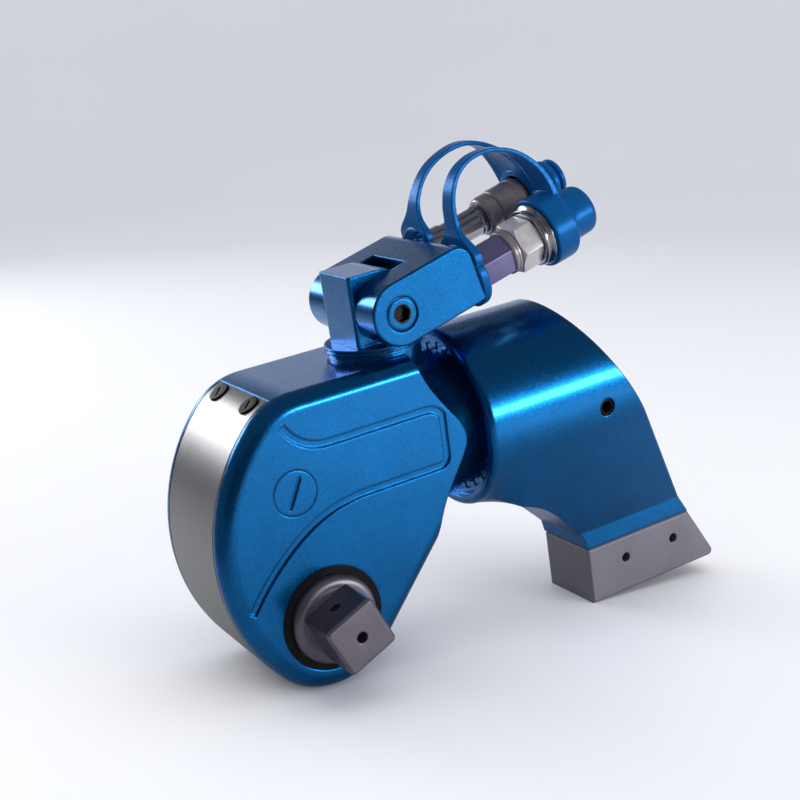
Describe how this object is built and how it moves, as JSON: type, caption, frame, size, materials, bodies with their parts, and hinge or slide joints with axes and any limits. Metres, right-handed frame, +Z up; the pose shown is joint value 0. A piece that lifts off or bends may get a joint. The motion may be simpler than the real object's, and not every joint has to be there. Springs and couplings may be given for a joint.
{
  "type": "hydraulic torque wrench",
  "caption": "Square-drive hydraulic torque wrench with a blue head, splined reaction arm and steel foot, and a two-axis swivel with capped hose couplers.",
  "frame": {"origin": "centre of the tool's footprint box, on the ground that its heel and its reaction foot stand on", "axes": "+X from the drive head towards the reaction foot, +Y away from the square drive's side, +Z up"},
  "size_m": [0.287, 0.1048, 0.2359],
  "materials": {
    "blue_paint": "metallic candy blue paint, glossy, with a fine sparkle",
    "brushed_shroud": "pale brushed sheet steel",
    "drive_steel": "satin grey phosphated alloy steel",
    "foot_steel": "satin grey machined alloy steel",
    "black_screw": "black oxide",
    "black_rubber": "matt black seal rubber",
    "nickel": "bright nickel plate",
    "dark_nickel": "darker nickel plate",
    "chrome": "bright chrome plate",
    "purple_hex": "purple-grey plated steel",
    "blue_plastic": "bright blue semi-gloss moulded plastic",
    "bronze": "machined bearing bronze",
    "hardened_steel": "ground hardened steel",
    "chromed_rod": "ground and chromed steel"
  },
  "bodies": {
    "head": {"housing": "blue_paint", "side_plugs": "blue_paint", "nose_shroud": "brushed_shroud", "shroud_screws": "black_screw", "front_drive_bush": "bronze", "rear_drive_bush": "bronze", "front_seal_ring": "black_rubber", "rear_seal_ring": "black_rubber", "reaction_pawl_pin": "hardened_steel", "reaction_pawl_spring": "hardened_steel", "rod_bush": "bronze", "rod_seal": "black_rubber", "cylinder_end_cap": "blue_paint", "end_cap_seal": "black_rubber"},
    "piston_and_rod": {"piston": "hardened_steel", "piston_seal": "black_rubber", "piston_wear_ring": "bronze", "piston_rod": "chromed_rod"},
    "drive_lever": {"near_drive_plate": "hardened_steel", "far_drive_plate": "hardened_steel", "rod_pin": "hardened_steel", "shoe_pins": "hardened_steel", "shoe_spring": "hardened_steel"},
    "shoe": {"drive_shoe": "hardened_steel"},
    "drive": {"ratchet_wheel": "hardened_steel", "square_drive": "drive_steel", "drive_retainer": "drive_steel", "button_spring": "hardened_steel"},
    "button": {"retainer_button": "black_screw"},
    "pawl": {"reaction_pawl": "hardened_steel"},
    "arm": {"reaction_arm": "blue_paint", "arm_lock_screw": "black_screw", "reaction_foot": "foot_steel", "foot_screws": "black_screw"},
    "post": {"swivel_post": "blue_paint", "post_seals": "black_rubber", "post_retaining_ring": "hardened_steel"},
    "fork": {"swivel_block": "blue_paint", "pivot_bolts": "blue_paint", "pivot_seals": "black_rubber", "near_adaptor": "purple_hex", "near_collar": "dark_nickel", "near_coupler_nut": "nickel", "far_adaptor": "chrome", "far_coupler_body": "dark_nickel", "near_strap": "blue_plastic", "far_strap": "blue_plastic"},
    "sleeve": {"near_coupler_sleeve": "chrome"},
    "cap_near": {"near_cap": "blue_plastic"},
    "cap_far": {"far_cap": "blue_plastic"}
  },
  "joints": [
    {"name": "piston_slide", "type": "slide", "parent": "head", "child": "piston_and_rod", "axis": [-0.9914, 0, -0.1309], "range_m": [0, 0.0245]},
    {"name": "lever_swing", "type": "hinge", "parent": "head", "child": "drive_lever", "pos_m": [-0.0926, 0.0084, 0.034], "axis": [0, -1, 0], "range_deg": [0, 22.96]},
    {"name": "drive_spin", "type": "hinge", "parent": "head", "child": "drive", "pos_m": [-0.0926, 0.0084, 0.034], "axis": [0, -1, 0], "range_deg": [0, 22.96]},
    {"name": "shoe_lift", "type": "slide", "parent": "drive_lever", "child": "shoe", "axis": [0.0688, 0, 0.9976], "range_m": [0, 0.0022], "stiffness_N_per_m": 800, "springref_m": -0.002, "deforming": ["shoe_spring"]},
    {"name": "reaction_pawl_lift", "type": "hinge", "parent": "head", "child": "pawl", "pos_m": [-0.05739, 0.0084, 0.05076], "axis": [0, 1, 0], "range_deg": [0, 6], "stiffness_Nm_per_rad": 0.6, "springref_deg": -5.73, "deforming": ["reaction_pawl_spring"]},
    {"name": "retainer_button_push", "type": "slide", "parent": "drive", "child": "button", "axis": [0, -1, 0], "range_m": [0, 0.002], "stiffness_N_per_m": 1500, "springref_m": -0.0005, "deforming": ["button_spring"]},
    {"name": "reaction_arm_slide", "type": "slide", "parent": "head", "child": "arm", "axis": [0.9914, 0, 0.1309], "range_m": [0, 0.032]},
    {"name": "swivel_spin", "type": "hinge", "parent": "head", "child": "post", "pos_m": [-0.05085, 0.0084, 0.16469], "axis": [-0.1309, 0, 0.9914], "continuous": true},
    {"name": "swivel_tilt", "type": "hinge", "parent": "post", "child": "fork", "pos_m": [-0.05085, 0.0084, 0.16469], "axis": [0, -1, 0], "range_deg": [-9, 76]},
    {"name": "coupling_sleeve_spin", "type": "hinge", "parent": "fork", "child": "sleeve", "pos_m": [0.03154, -0.0081, 0.19128], "axis": [0.9303, 0, 0.3669], "continuous": true},
    {"name": "near_cap_pull", "type": "slide", "parent": "fork", "child": "cap_near", "axis": [0.9303, 0, 0.3669], "range_m": [0, 0.016], "deforming": ["near_strap"]},
    {"name": "far_cap_pull", "type": "slide", "parent": "fork", "child": "cap_far", "axis": [0.9303, 0, 0.3669], "range_m": [0, 0.016], "deforming": ["far_strap"]}
  ],
  "couplings": [
    {"joint": "lever_swing", "follows": "piston_slide", "rad_per_m": 16.343},
    {"joint": "drive_spin", "follows": "piston_slide", "rad_per_m": 16.343}
  ]
}
